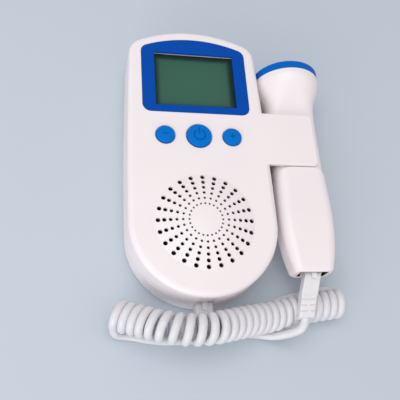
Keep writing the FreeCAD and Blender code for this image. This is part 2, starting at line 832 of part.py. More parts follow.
flange_top = front_inside - d.button_seat
for name, x, radius in button_places:
    button = new_body(name + "_body")
    base = new_sketch(button, name + "_flange_outline", offset=flange_top - d.button_flange_thickness)
    add_circle(base, x, d.button_row, radius + d.button_flange)
    pad(button, name + "_flange", base, d.button_flange_thickness)
    cap = new_sketch(button, name + "_cap_outline", offset=flange_top)
    add_circle(cap, x, d.button_row, radius)
    pad(button, name + "_cap", cap, d.case_depth + d.button_proud - flange_top)
    crown_radius = (radius * radius + d.button_crown * d.button_crown) / (d.button_crown * 2)
    crown = doc.addObject("Part::Sphere", name + "_crown")
    crown.setExpression("Radius", crown_radius.formula)
    put(crown, x, d.button_row, d.case_depth + d.button_proud - crown_radius)
    crowned = doc.addObject("Part::Common", name + "_crowned")
    crowned.Base = button
    crowned.Tool = crown
    keep(name, round_edges(name + "_round", crowned, d.button_edge_round,
                           lambda edge: edge.BoundBox.ZMin > mm.case_depth and edge.BoundBox.ZLength < NEAR))

switches = []
for name, x, _ in button_places:
    case = box(name + "_switch_case", d.switch_size, d.switch_size, d.switch_height,
               x - d.switch_size / 2, d.button_row - d.switch_size / 2, d.board_top)
    plunger = cylinder(name + "_plunger", d.plunger_radius, d.plunger_height, x, d.button_row,
                       d.board_top + d.switch_height)
    switches.append(fuse(name + "_switch", [case, plunger]))
keep("button_switches", group("switches", switches))

# ---------------------------------------------------------------- main board

board = box("board_blank", d.board_half_width * 2, d.board_high - d.board_low, d.board_thickness,
            -d.board_half_width, d.board_low, board_low_face)
board_tools = [
    cylinder(f"board_notch_{i}", d.boss_radius + d.board_notch, d.board_thickness + d.overcut * 2, x, y,
             board_low_face - d.overcut)
    for i, (x, y) in enumerate(boss_places[2:])
]
board_tools += [
    cylinder(f"board_hole_{i}", d.board_screw_radius + d.screw_clearance, d.board_thickness + d.overcut * 2,
             x, y, board_low_face - d.overcut)
    for i, (x, y) in enumerate(post_places)
]
keep("main_board", cut("board_cut", board, board_tools))

chips = []
for name in CHIPS:
    side, up, width, length, height = (getattr(d, f"{name}_{column}") for column in CHIP_COLUMNS)
    chips.append(box(name, width, length, height, side - width / 2, up - length / 2, d.board_top))
keep("board_chips", group("chips", chips))


def screw(name, head_radius, head_height, shank_radius, length, x, y, z):
    """A screw that points up from z: its head, then its shank."""
    head = cylinder(name + "_head", head_radius, head_height, x, y, z)
    shank = cylinder(name + "_shank", shank_radius, length, x, y, z + head_height)
    return fuse(name, [head, shank])


keep("board_screws", group("board_screw_group", [
    screw(f"board_screw_{i}", d.board_screw_head, d.board_screw_head_height, d.board_screw_radius,
          d.board_screw_length, x, y, board_low_face - d.board_screw_head_height)
    for i, (x, y) in enumerate(post_places)
]))
keep("case_screws", group("case_screw_group", [
    screw(f"case_screw_{i}", d.case_screw_head, d.case_screw_head_height, d.case_screw_radius,
          d.case_screw_length, x, y, d.screw_recess)
    for i, (x, y) in enumerate(boss_places)
]))

# ---------------------------------------------------------------- speaker


def turned(name, profile):
    """A body turned about the speaker's axis from a profile of radius and height pairs."""
    body = new_body(name)
    sketch = new_sketch(body, name + "_profile", "XZ_Plane")
    add_polygon(sketch, profile)
    revolve(body, name + "_turned", sketch)
    return body


gasket_low = front_inside - d.gasket_thickness
flange_low = gasket_low - d.speaker_flange
basket_low = flange_low - d.basket_depth
basket_floor = basket_low + d.basket_wall
throat = d.speaker_radius - d.speaker_lip
throat_inside = throat - d.cone_gap
keep("speaker_gasket", turned("GasketBody", [
    (throat, gasket_low), (d.speaker_radius, gasket_low),
    (d.speaker_radius, front_inside), (throat, front_inside),
]))
keep("speaker_frame", turned("BasketBody", [
    (ZERO, basket_low), (d.basket_floor_radius, basket_low), (throat, flange_low),
    (d.speaker_radius, flange_low), (d.speaker_radius, gasket_low), (throat_inside, gasket_low),
    (throat_inside, flange_low + d.basket_wall), (d.basket_floor_radius - d.cone_gap, basket_floor),
    (ZERO, basket_floor),
]))
cone_rim = throat_inside - d.cone_rim_gap
cone_top = gasket_low - d.cone_rim_gap
cone_floor = basket_floor + d.cone_lift
keep("speaker_cone", turned("ConeBody", [
    (ZERO, cone_floor), (d.cone_floor_radius, cone_floor),
    (cone_rim - d.cone_roll, cone_top - d.cone_thickness), (cone_rim, cone_top - d.cone_thickness),
    (cone_rim, cone_top), (cone_rim - d.cone_roll, cone_top),
    (d.cone_floor_radius, cone_floor + d.cone_thickness), (ZERO, cone_floor + d.cone_thickness),
]))
keep("speaker_magnet", cylinder("magnet", d.magnet_radius, d.magnet_height, 0, 0, basket_low - d.magnet_height))

# ---------------------------------------------------------------- battery bay

door_low = d.bay_low + d.door_clearance
door_high = bay_high - d.door_clearance
door_half = d.bay_half_width - d.door_clearance
door_plate = box("door_plate", door_half * 2, door_high - door_low, d.door_thickness, -door_half, door_low,
                 d.door_inset)
door_plate = round_edges(
    "door_plate_round", door_plate, d.door_end_round,
    lambda edge: edge.BoundBox.YMax < door_low.value + NEAR and edge.BoundBox.XLength > NEAR)
hinge_pin = cylinder("hinge_pin", d.hinge_pin_radius, (door_half + d.hinge_pin_length) * 2,
                     -door_half - d.hinge_pin_length, hinge_y, hinge_z, "X")
finger_notch = cylinder("finger_notch", d.finger_notch_radius, d.overcut + d.finger_notch_depth, 0,
                        door_high - d.overcut, d.door_inset - d.overcut)
keep("battery_door", cut("door_cut", fuse("door_with_pin", [door_plate, hinge_pin]), [finger_notch]))

cell_height = d.bay_inside_top - d.door_clearance - d.cell_radius
cell_side = d.cell_radius + d.cell_gap / 2
contact_high = bay_high - d.contact_thickness
spring_end = d.bay_low + d.contact_thickness + d.spring_room
CELLS = (("battery_cell_left", -1), ("battery_cell_right", 1))
for name, side in CELLS:
    nub_up = side < 0
    can_low = spring_end if nub_up else d.bay_low + d.contact_thickness + d.cell_nub_length
    nub_low = can_low + d.cell_length if nub_up else d.bay_low + d.contact_thickness
    x = cell_side * side
    can = cylinder(name + "_can", d.cell_radius, d.cell_length, x, can_low, cell_height, "Y")
    nub = cylinder(name + "_nub", d.cell_nub_radius, d.cell_nub_length, x, nub_low, cell_height, "Y")
    keep(name, fuse(name + "_cell", [can, nub]))
for name, y in (("battery_contacts_low", d.bay_low), ("battery_contacts_high", contact_high)):
    plates = [
        box(f"{name}_{i}", d.contact_width, d.contact_thickness, d.contact_width,
            cell_side * side - d.contact_width / 2, y, cell_height - d.contact_width / 2)
        for i, (_, side) in enumerate(CELLS)
    ]
    keep(name, group(name + "_plates", plates))


SPRING_STEPS = 10


def coil_spring(x, y, z, length):
    """A wire wound about a line along Y, as long as its room less the wire's thickness."""
    steps = round(mm.spring_turns * SPRING_STEPS)
    rise = (length - mm.spring_wire) / steps
    angles = [2 * math.pi * i / SPRING_STEPS for i in range(steps + 1)]
    return tube([
        (x + mm.spring_radius * math.cos(angle), y + mm.spring_wire / 2 + rise * i,
         z + mm.spring_radius * math.sin(angle))
        for i, angle in enumerate(angles)
    ], mm.spring_wire)


keep("battery_springs", shaped("spring_pair", Part.makeCompound([
    coil_spring((cell_side * side).value, (y + d.spring_gap).value, cell_height.value,
                (d.spring_room - d.spring_gap * 2).value)
    for side, y in ((-1, d.bay_low + d.contact_thickness), (1, contact_high - d.spring_room))
])))

# ---------------------------------------------------------------- sockets, plugs and boots


def socket(name, x, front_y, axis_z, low_z):
    """A jack that stands on low_z, open at front_y, with room for a plug and its latch."""
    block = box(name + "_block", (mouth_half + d.socket_wall) * 2, d.socket_depth,
                axis_z + latch_room + d.socket_wall - low_z, x - mouth_half - d.socket_wall, front_y, low_z)
    room = box(name + "_room", mouth_half * 2, d.socket_depth - d.socket_wall + d.overcut,
               latch_room + plug_room, x - mouth_half, front_y - d.overcut, axis_z - plug_room)
    return cut(name + "_cut", block, [room])


def plug_parts(name, x, outer_y, shell_y, axis_z):
    """A plug that runs in along Y from outer_y, and its latch: a strip rooted inside the socket."""
    top = axis_z + d.plug_thickness / 2
    root_length = d.latch_thickness * 2
    return [
        box(name + "_body", d.plug_width, d.plug_insertion, d.plug_thickness, x - d.plug_width / 2, outer_y,
            axis_z - d.plug_thickness / 2),
        box(name + "_latch", d.latch_width, d.latch_inside + d.latch_outside, d.latch_thickness,
            x - d.latch_width / 2, shell_y - d.latch_outside, top + d.latch_rise),
        box(name + "_latch_root", d.latch_width, root_length, d.latch_rise + d.latch_thickness / 2,
            x - d.latch_width / 2, shell_y + d.latch_inside - root_length, top),
    ]


def leaning_bar(width, depth, y_start, y_end, shift_start, shift_end, corner):
    """A bar along the probe's axis whose centre shifts toward -X, with rounded long edges."""
    wires = []
    for y, shift in ((y_start, shift_start), (y_end, shift_end)):
        corners = [
            Vector(probe_side.value - shift + sx * width / 2, y, probe_plug_z.value + sz * depth / 2)
            for sx, sz in ((-1, -1), (1, -1), (1, 1), (-1, 1))
        ]
        wires.append(Part.makePolygon(corners + corners[:1]))
    bar = Part.makeLoft(wires, True, True)
    long_edges = [edge for edge in bar.Edges if edge.BoundBox.YLength > corner]
    return bar.makeFillet(corner, long_edges)


keep("unit_socket", socket("unit_jack", ZERO, -d.case_radius + d.case_wall + d.socket_stand_back,
                           d.unit_plug_height, d.rear_wall))
boot_start = -d.case_radius - d.boot_gap
keep("unit_plug", fuse("unit_plug_fused", plug_parts("unit_plug", ZERO, boot_start, -d.case_radius,
                                                     d.unit_plug_height)))
unit_boot = box("unit_boot_block", d.unit_boot_width, d.unit_boot_length, d.boot_thickness,
                -d.unit_boot_width / 2, boot_start - d.unit_boot_length,
                d.unit_plug_height - d.boot_thickness / 2)
keep("unit_boot", round_edges("unit_boot_round", unit_boot, d.boot_round,
                              lambda edge: edge.BoundBox.YLength > d.boot_round.value))

probe_plug_z = d.probe_height - d.probe_plug_drop
probe_end = d.handle_end - d.boot_gap
plug_tip = (probe_end - d.probe_plug_outside).value
boot_tip = plug_tip - mm.probe_boot_length
outside_bar = shaped("probe_plug_outside_bar", leaning_bar(mm.plug_width, mm.plug_thickness, probe_end.value,
                                                           plug_tip, 0, mm.plug_lean, mm.plug_edge_round))
keep("probe_plug", fuse("probe_plug_fused", [outside_bar] + plug_parts(
    "probe_plug", probe_side, probe_end, d.handle_end, probe_plug_z)))
boot_bar = leaning_bar(mm.boot_width, mm.boot_thickness, plug_tip, boot_tip, mm.plug_lean,
                       mm.plug_lean + mm.boot_lean, mm.boot_round)
for i in range(3):
    groove_y = plug_tip - mm.groove_start - mm.groove_pitch * i - mm.groove_width / 2
    groove_z = probe_plug_z.value + mm.boot_thickness / 2 - mm.groove_depth
    groove_x = probe_side.value - mm.plug_lean - mm.boot_lean / 2
    left = Vector(groove_x - mm.boot_width, groove_y, groove_z)
    groove = Part.makeBox(mm.boot_width * 2, mm.groove_width, mm.boot_thickness, left)
    if i > 0:
        middle = Vector(groove_x - mm.groove_bridge / 2, groove_y, groove_z)
        groove = groove.cut(Part.makeBox(mm.groove_bridge, mm.groove_width, mm.boot_thickness, middle))
    boot_bar = boot_bar.cut(groove)
keep("probe_boot", shaped("probe_boot_bar", boot_bar))
keep("probe_socket", socket("probe_jack", probe_side, d.handle_end + d.probe_wall + d.probe_socket_gap,
                            probe_plug_z, probe_plug_z - plug_room - d.socket_wall))

# ---------------------------------------------------------------- probe shells


def section(along, half_width, half_depth, corner, inset):
    """A rounded rectangle across the probe: arcs at its corners and lines between them."""
    a = half_width - inset
    b = half_depth - inset
    r = min(max(corner - inset, mm.plug_edge_round), a - mm.head_flat, b - mm.head_flat)
    bulge = r * (1 - math.sqrt(0.5))

    def point(x, z):
        return Vector(probe_side.value + x, along, mm.probe_height + z)

    edges = []
    last = None
    quarters = ((1, 1, False), (-1, 1, True), (-1, -1, False), (1, -1, True))
    for sx, sz, from_flat in quarters:
        side = point(sx * a, sz * (b - r))
        flat = point(sx * (a - r), sz * b)
        start, end = (flat, side) if from_flat else (side, flat)
        if last is not None:
            edges.append(Part.LineSegment(last, start).toShape())
        edges.append(Part.Arc(start, point(sx * (a - bulge), sz * (b - bulge)), end).toShape())
        last = end
    edges.append(Part.LineSegment(last, edges[0].Vertexes[0].Point).toShape())
    return Part.Wire(edges)


def rows(table):
    return [[getattr(mm, f"{name}_{column}") for column in SECTION_COLUMNS] for name in table]


def round_bar(radius, low, high):
    start = Vector(probe_side.value, low, mm.probe_height)
    return Part.makeCylinder(radius, high - low, start, Vector(0, 1, 0))


def probe_form(inset):
    """The probe's form moved in by the inset: handle, neck, flare and head."""
    neck = [mm.neck_half_width, neck_half_depth.value, mm.neck_corner]
    handle_rows = rows(HANDLE)
    handle = Part.makeLoft([section(*row, inset) for row in handle_rows], True, False)
    if not inset:
        along, half_width, half_depth, corner = handle_rows[0]
        bevelled = [mm.handle_end, half_width - mm.handle_bevel, half_depth - mm.handle_bevel,
                    corner - mm.handle_bevel / 2]
        bevel = Part.makeLoft([section(*bevelled, inset), section(*handle_rows[0], inset)], True, True)
        handle = handle.fuse(bevel)
    low = mm.handle_end + inset
    top = mm.jaw_low - mm.shoulder_gap - inset
    half = mm.shoulder_half_width - inset
    plan = Part.makeBox(half * 2, top - low, mm.case_depth * 2,
                        Vector(probe_side.value - half, low, -mm.case_depth / 2))
    upper_edges = [e for e in plan.Edges if e.BoundBox.ZLength > mm.case_depth and e.BoundBox.YMin > top - NEAR]
    handle = handle.common(plan.makeFillet(mm.shoulder_corner - inset, upper_edges))
    neck_low = mm.jaw_low - mm.shoulder_gap - mm.neck_root
    neck_high = mm.jaw_high + mm.shoulder_gap + inset
    bar = Part.makeLoft([section(neck_low, *neck, inset), section(neck_high, *neck, inset)], True, True)
    head_end = [mm.head_low, mm.head_radius, mm.head_radius, mm.head_radius - mm.head_flat]
    flare_rows = [[neck_high] + neck] + rows(FLARE) + [head_end]
    flare = Part.makeLoft([section(*row, inset) for row in flare_rows], True, False)
    pieces = [bar, flare]
    if not inset:
        pieces.append(round_bar(mm.head_radius, mm.head_low, mm.head_high))
    return handle.fuse(pieces).removeSplitter()


lip_radius = cap_radius - mm.cap_wall - mm.cap_fit
lip_end = mm.head_high + mm.cap_lip
inside_form = probe_form(mm.probe_wall)
middle_form = probe_form(mm.probe_wall / 2)
lip = round_bar(lip_radius, mm.head_low, lip_end)
lip_room = round_bar(lip_radius - mm.lip_wall, mm.head_low - mm.overcut, lip_end + mm.overcut)
shell = probe_form(0).fuse(lip).cut(inside_form).cut(lip_room)

# the bosses for its two screws, and ribs that carry the board and the jack
board_floor = mm.probe_height - mm.probe_board_drop - mm.probe_board_thickness / 2
socket_floor = (probe_plug_z - plug_room - d.socket_wall).value
supports = [
    Part.makeCylinder(mm.probe_boss_radius, mm.case_depth * 2, Vector(probe_side.value, y, -mm.case_depth / 2))
    for y in (mm.probe_boss_low, mm.probe_boss_high)
]
for y, rib_top in (
    (mm.probe_board_low + mm.rib_inset, board_floor),
    (mm.probe_board_high - mm.rib_inset, board_floor),
    (mm.socket_rib_place, socket_floor),
):
    supports.append(Part.makeBox(mm.rib_width, mm.rib_thickness, rib_top,
                                 Vector(probe_side.value - mm.rib_width / 2, y, 0)))
shell = shell.fuse([support.common(middle_form) for support in supports])

# the mouth for the plug in the handle's end, wider at its front side
mouth_low = (probe_plug_z - plug_room).value
mouth_high = (probe_plug_z + latch_room).value + mm.mouth_headroom
mouth_bottom = mm.plug_width / 2 + mm.mouth_margin
mouth_top = mouth_bottom + mm.mouth_spread
mouth_corners = [
    Vector(probe_side.value + x, mm.handle_end - mm.overcut, z)
    for x, z in ((-mouth_bottom, mouth_low), (mouth_bottom, mouth_low),
                 (mouth_top, mouth_high), (-mouth_top, mouth_high))
]
mouth = Part.Face(Part.makePolygon(mouth_corners + mouth_corners[:1]))
shell = shell.cut(mouth.extrude(Vector(0, mm.probe_wall + mm.overcut * 2, 0)))

# screws go in from the back, their heads in recesses of the same depth below the local surface
screw_places = [
    (mm.probe_boss_low, mm.probe_height - mm.handle_swell_half_depth),
    (mm.probe_boss_high, mm.probe_height - neck_half_depth.value),
]
for y, back in screw_places:
    head_top = back + mm.probe_screw_recess + mm.probe_screw_head_height
    shell = shell.cut(Part.makeCylinder(mm.probe_screw_head + mm.screw_clearance, head_top,
                                        Vector(probe_side.value, y, 0)))
    shell = shell.cut(Part.makeCylinder(mm.probe_screw_radius, probe_pilot_depth.value,
                                        Vector(probe_side.value, y, head_top)))
front_half = Part.makeBox(mm.case_depth * 2, mm.case_top * 2, mm.case_depth,
                          Vector(probe_side.value - mm.case_depth, -mm.case_top, mm.probe_height))
keep("probe_front_shell", shaped("probe_front_half", shell.common(front_half)))
keep("probe_rear_shell", shaped("probe_rear_half", shell.cut(front_half)))
keep("probe_screws", group("probe_screw_group", [
    screw(f"probe_screw_{i}", d.probe_screw_head, d.probe_screw_head_height, d.probe_screw_radius,
          probe_pilot_depth - d.probe_screw_recess, probe_side, y, d.probe_screw_recess + back)
    for i, (y, back) in enumerate((
        (d.probe_boss_low, d.probe_height - d.handle_swell_half_depth),
        (d.probe_boss_high, d.probe_height - neck_half_depth),
    ))
]))
keep("probe_board", box("probe_board_blank", d.probe_board_width, d.probe_board_high - d.probe_board_low,
                        d.probe_board_thickness, probe_side - d.probe_board_width / 2, d.probe_board_low,
                        d.probe_height - d.probe_board_drop - d.probe_board_thickness / 2))

# ---------------------------------------------------------------- probe cap and transducer

band_end = mm.head_high + mm.cap_band
cap_end = band_end + mm.cap_crown
crown_sphere = (cap_radius ** 2 + mm.cap_crown ** 2) / (2 * mm.cap_crown)
crown = Part.makeSphere(crown_sphere, Vector(probe_side.value, cap_end - crown_sphere, mm.probe_height))
cap = round_bar(cap_radius, mm.head_high, cap_end).common(crown)
rim = [edge for edge in cap.Edges if edge.BoundBox.YMin > mm.head_high + mm.cap_band / 2]
cap = cap.makeFillet(mm.cap_round, rim)
cap_roof = lip_end + mm.cap_roof_gap
cap = cap.cut(round_bar(cap_radius - mm.cap_wall, mm.head_high - mm.overcut, cap_roof))
keep("probe_cap", shaped("probe_cap_turned", cap))
crystal_low = cap_roof - mm.crystal_thickness
backing_radius = lip_radius - mm.lip_wall - mm.backing_fit
crystal_radius = backing_radius - mm.crystal_inset
gap_corner = Vector(probe_side.value - mm.crystal_split / 2, crystal_low - mm.overcut, -mm.case_depth / 2)
gap = Part.makeBox(mm.crystal_split, cap_radius, mm.case_depth * 2, gap_corner)
keep("probe_crystals", shaped("crystal_pair", round_bar(crystal_radius, crystal_low, cap_roof).cut(gap)))
keep("probe_backing", shaped("backing_disc", round_bar(backing_radius, crystal_low - mm.backing_thickness,
                                                       crystal_low)))

# ---------------------------------------------------------------- cord: two plain leads and a curly stretch

UNIT_LEAD = [
    (0, -40.2, 9.3), (0, -42.3, 9.3), (1.5, -44.8, 9.2), (4.4, -46.5, 8.8), (7.9, -46.5, 7.9),
    (11.2, -44.8, 6.6), (14.7, -41.6, 4.9), (19.0, -38.0, 3.0), (24.8, -34.9, 1.95), (32.5, -32.2, 1.95),
    (40.5, -29.4, 1.95), (48.0, -27.8, 1.95), (54.4, -26.4, 1.95), (59.6, -25.3, 2.2), (63.7, -25.3, 3.6),
    (66.0, -26.2, 5.9), (66.6, -27.6, 8.6),
]
COIL = [
    (-37.4, -36.3, 8.5), (-34.6, -38.4, 9.6), (-30.1, -40.2, 11.5), (-25.4, -41.8, 13.7),
    (-20.3, -43.4, 16.0), (-14.4, -44.9, 18.0), (-8.0, -45.8, 19.4), (0, -45.4, 19.4), (9.9, -44.0, 16.6),
    (19.7, -41.5, 12.4), (28.9, -39.5, 9.2), (38.1, -37.2, 7.2), (45.2, -35.7, 7.0), (54.6, -34.2, 7.0),
    (65.0, -33.0, 7.0),
]
PROBE_LEAD = [
    (43.4, -42.5, 17.3), (43.0, -44.6, 17.0), (41.7, -46.1, 15.4), (39.8, -46.6, 12.6), (37.2, -46.9, 9.3),
    (34.2, -47.0, 6.4), (30.8, -46.6, 4.0), (26.6, -45.4, 2.2), (20.0, -44.7, 1.95), (12.0, -45.0, 1.95),
    (3.0, -45.9, 1.95), (-6.0, -46.9, 1.95), (-15.5, -47.2, 1.95), (-24.3, -46.0, 1.95), (-30.0, -44.6, 1.95),
    (-34.2, -43.7, 1.95), (-37.4, -43.3, 1.95), (-40.0, -42.9, 3.1), (-41.1, -42.0, 5.4), (-40.7, -40.7, 8.2),
]
for name, diameter, points in (
    ("cord_lead_unit", mm.cord_diameter, UNIT_LEAD),
    ("cord_coil", mm.coil_diameter, COIL),
    ("cord_lead_probe", mm.cord_diameter, PROBE_LEAD),
):
    path, radii = tube_path(points)
    solid = tube(points, diameter)
    expected = math.pi * diameter ** 2 / 4 * path.Length
    print(f"{name}: length {path.Length:.1f}, radii {radii}, volume {solid.Volume:.1f} of {expected:.1f}")
    keep(name, shaped(name + "_tube", solid))

# ---------------------------------------------------------------- check and write

doc.recompute()
for item in doc.Objects:
    if {"Invalid", "Error"} & set(item.State):
        raise RuntimeError(f"{item.Name} failed: {item.State}")
for node in nodes:
    if node.Shape.isNull() or not node.Shape.isValid() or not node.Shape.Solids:
        raise RuntimeError(f"{node.Label} has no valid solid")
os.makedirs("parts", exist_ok=True)
for node in nodes:
    node.Shape.exportStep(f"parts/{node.Label}.step")
    print(node.Label, len(node.Shape.Solids), round(node.Shape.Volume, 1))
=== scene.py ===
import math
import random
import bpy
from mathutils import Matrix, Vector


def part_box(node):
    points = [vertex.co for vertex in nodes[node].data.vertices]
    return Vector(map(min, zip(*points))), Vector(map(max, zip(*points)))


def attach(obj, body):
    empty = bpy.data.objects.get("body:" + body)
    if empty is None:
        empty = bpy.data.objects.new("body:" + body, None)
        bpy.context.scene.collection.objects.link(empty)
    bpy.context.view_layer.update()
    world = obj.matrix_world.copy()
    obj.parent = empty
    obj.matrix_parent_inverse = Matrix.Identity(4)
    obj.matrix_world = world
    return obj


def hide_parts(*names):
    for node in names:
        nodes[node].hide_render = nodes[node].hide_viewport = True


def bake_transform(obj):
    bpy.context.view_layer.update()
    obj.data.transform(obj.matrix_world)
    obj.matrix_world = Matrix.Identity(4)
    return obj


# A hand-held fetal doppler monitor that lies on its back, put together from the inside of its case
# outwards: power, board, speaker, display, keys and front, then the probe and the curly cord.
# Metres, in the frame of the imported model: +X to the probe, +Y to the display end, +Z out of the face.

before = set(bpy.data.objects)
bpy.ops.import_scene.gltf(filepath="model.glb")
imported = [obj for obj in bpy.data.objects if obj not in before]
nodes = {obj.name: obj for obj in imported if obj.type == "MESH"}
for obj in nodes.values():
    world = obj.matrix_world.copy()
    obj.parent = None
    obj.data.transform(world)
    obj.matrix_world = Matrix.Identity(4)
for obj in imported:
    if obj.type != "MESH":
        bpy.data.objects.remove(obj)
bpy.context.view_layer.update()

# ---------------------------------------------------------------- rear shell and battery door
# The back half of the case and the door over its cells are white ABS, injection moulded in a tool with
# a fine matt grain. The door swings on pins at its lower end and has ribs for the thumb at the other.

MM = 0.001


def colour(code):
    """The linear RGBA colour that an sRGB hex code stands for."""
    channels = [int(code[i:i + 2], 16) / 255 for i in (1, 3, 5)]
    return tuple(c / 12.92 if c <= 0.04045 else ((c + 0.055) / 1.055) ** 2.4 for c in channels) + (1.0,)


def add(tree, kind, inputs=None, **settings):
    """Add a node with its settings, and its inputs by name or number: a value to set or a socket to link."""
    item = tree.nodes.new(kind)
    for name, value in settings.items():
        setattr(item, name, value)
    for socket, value in (inputs or {}).items():
        if isinstance(value, bpy.types.NodeSocket):
            tree.links.new(value, item.inputs[socket])
        else:
            item.inputs[socket].default_value = value
    return item


def new_material(name):
    """An empty material, and the socket that its shader goes into."""
    material = bpy.data.materials.new(name)
    material.use_nodes = True
    material.node_tree.nodes.clear()
    output = add(material.node_tree, "ShaderNodeOutputMaterial")
    return material, material.node_tree, output.inputs["Surface"]


def surfaced(name, light, dark, patch, roughness, spread, grain, relief, metallic=0.0, ior=1.5, specular=0.5):
    """A finish of two close colours in soft patches, with an uneven gloss and a fine relief.

    Patch, grain and relief are in millimetres; spread is how far the roughness strays either way. Real
    grain is finer than most of these: it is drawn at 0.2 mm or more, so that it shows."""
    material, tree, surface = new_material(name)
    place = add(tree, "ShaderNodeTexCoord").outputs["Object"]
    patches = add(tree, "ShaderNodeTexNoise", {"Vector": place, "Scale": 1 / (patch * MM), "Detail": 3.0})
    grains = add(tree, "ShaderNodeTexNoise", {"Vector": place, "Scale": 1 / (grain * MM), "Detail": 2.0})
    shade = add(tree, "ShaderNodeMix", {0: patches.outputs["Fac"], 6: colour(light), 7: colour(dark)},
                data_type="RGBA")
    gloss = add(tree, "ShaderNodeMapRange", {
        "Value": patches.outputs["Fac"], "From Min": 0.3, "From Max": 0.7,
        "To Min": roughness - spread, "To Max": roughness + spread,
    })
    bump = add(tree, "ShaderNodeBump", {"Height": grains.outputs["Fac"], "Distance": relief * MM})
    shader = add(tree, "ShaderNodeBsdfPrincipled", {
        "Base Color": shade.outputs[2], "Roughness": gloss.outputs[0], "Normal": bump.outputs[0],
        "Metallic": metallic, "IOR": ior, "Specular IOR Level": specular,
    })
    tree.links.new(shader.outputs[0], surface)
    return material


def dress(material, *names):
    """Give CAD nodes their material."""
    for name in names:
        nodes[name].material_slots[0].material = material


# moulded ABS: a clean neutral white, satin, with the tool's grain drawn at 0.45 mm so that it shows
white_abs = surfaced("moulded_white_abs", "#f3ebec", "#eee5e7",
                     patch=22, roughness=0.4, spread=0.05, grain=0.45, relief=0.004, ior=1.53)
dress(white_abs, "rear_shell", "battery_door")

RIB_COUNT = 6
RIB_PITCH = 1.6
RIB_LENGTH = 15.0
RIB_RADIUS = 0.45
RIB_SIDES = 20
RIB_SUNK = 0.33
RIB_FROM_END = 8.5


def ridge_row_tree():
    """A Geometry Nodes tree for a row of round ribs along Y, each rib lying along X."""
    tree = bpy.data.node_groups.new("ridge_row", "GeometryNodeTree")
    for name, kind in (("Count", "Int"), ("Pitch", "Float"), ("Length", "Float"), ("Radius", "Float"),
                       ("Start", "Vector"), ("Finish", "Material")):
        tree.interface.new_socket(name, in_out="INPUT", socket_type="NodeSocket" + kind)
    tree.interface.new_socket("Ribs", in_out="OUTPUT", socket_type="NodeSocketGeometry")
    given = add(tree, "NodeGroupInput").outputs
    step = add(tree, "ShaderNodeCombineXYZ", {"Y": given["Pitch"]})
    row = add(tree, "GeometryNodeMeshLine", {
        "Count": given["Count"], "Start Location": given["Start"], "Offset": step.outputs[0]}, mode="OFFSET")
    rod = add(tree, "GeometryNodeMeshCylinder", {
        "Vertices": RIB_SIDES, "Radius": given["Radius"], "Depth": given["Length"]}, fill_type="NGON")
    laid = add(tree, "GeometryNodeTransform", {
        "Geometry": rod.outputs["Mesh"], "Rotation": (0, math.pi / 2, 0)})
    ribs = add(tree, "GeometryNodeInstanceOnPoints", {"Points": row.outputs[0], "Instance": laid.outputs[0]})
    real = add(tree, "GeometryNodeRealizeInstances", {"Geometry": ribs.outputs[0]})
    done = add(tree, "GeometryNodeSetMaterial", {"Geometry": real.outputs[0], "Material": given["Finish"]})
    add(tree, "NodeGroupOutput", {"Ribs": done.outputs[0]})
    return tree


def grown(name, tree, values, body):
    """The piece that a Geometry Nodes tree makes from these values, as a plain mesh on a body."""
    seed = bpy.data.objects.new(name + "_seed", bpy.data.meshes.new(name + "_seed"))
    bpy.context.scene.collection.objects.link(seed)
    modifier = seed.modifiers.new("nodes", "NODES")
    modifier.node_group = tree
    for item in tree.interface.items_tree:
        if item.in_out == "INPUT":
            modifier[item.identifier] = values[item.name]
    mesh = bpy.data.meshes.new_from_object(seed.evaluated_get(bpy.context.evaluated_depsgraph_get()))
    mesh.name = name
    bpy.data.objects.remove(seed)
    piece = bpy.data.objects.new(name, mesh)
    bpy.context.scene.collection.objects.link(piece)
    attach(piece, body)
    return piece


door_low, door_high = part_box("battery_door")
grown("door_grip_ribs", ridge_row_tree(), {
    "Count": RIB_COUNT, "Pitch": RIB_PITCH * MM, "Length": RIB_LENGTH * MM, "Radius": RIB_RADIUS * MM,
    "Start": (0, door_high.y - (RIB_FROM_END + RIB_PITCH * (RIB_COUNT - 1)) * MM, door_low.z + RIB_SUNK * MM),
    "Finish": white_abs,
}, "battery_door")

# ---------------------------------------------------------------- cells, contacts and springs
# Two AA cells lie head to tail against nickel-plated contacts, one on a spring each. A cell's can shows
# as bare steel at its ends, and a shrunk-on plastic sleeve with a contrast band covers the rest.

# nickel plate: a warm bright metal with a soft sheen, dulled in patches by the fingers
nickel = surfaced("plated_nickel", "#cfc9bd", "#bdb6a8",
                  patch=6, roughness=0.24, spread=0.06, grain=0.3, relief=0.003, metallic=1.0)
dress(nickel, "battery_contacts_low", "battery_contacts_high", "battery_springs")

# a cell's sleeve: glossy film in dull green with small scuffs, a sand-coloured band and bare steel ends
SLEEVE = "#2c5f4d"
SLEEVE_BAND = "#d9b45a"
CAN_STEEL = "#c4c6c9"
BARE_END = 2.4
BAND_SHARE = 0.26
SCUFF_SIZE = 4
SCUFF_DEPTH = 0.02
SLEEVE_GLOSS = (0.22, 0.4)


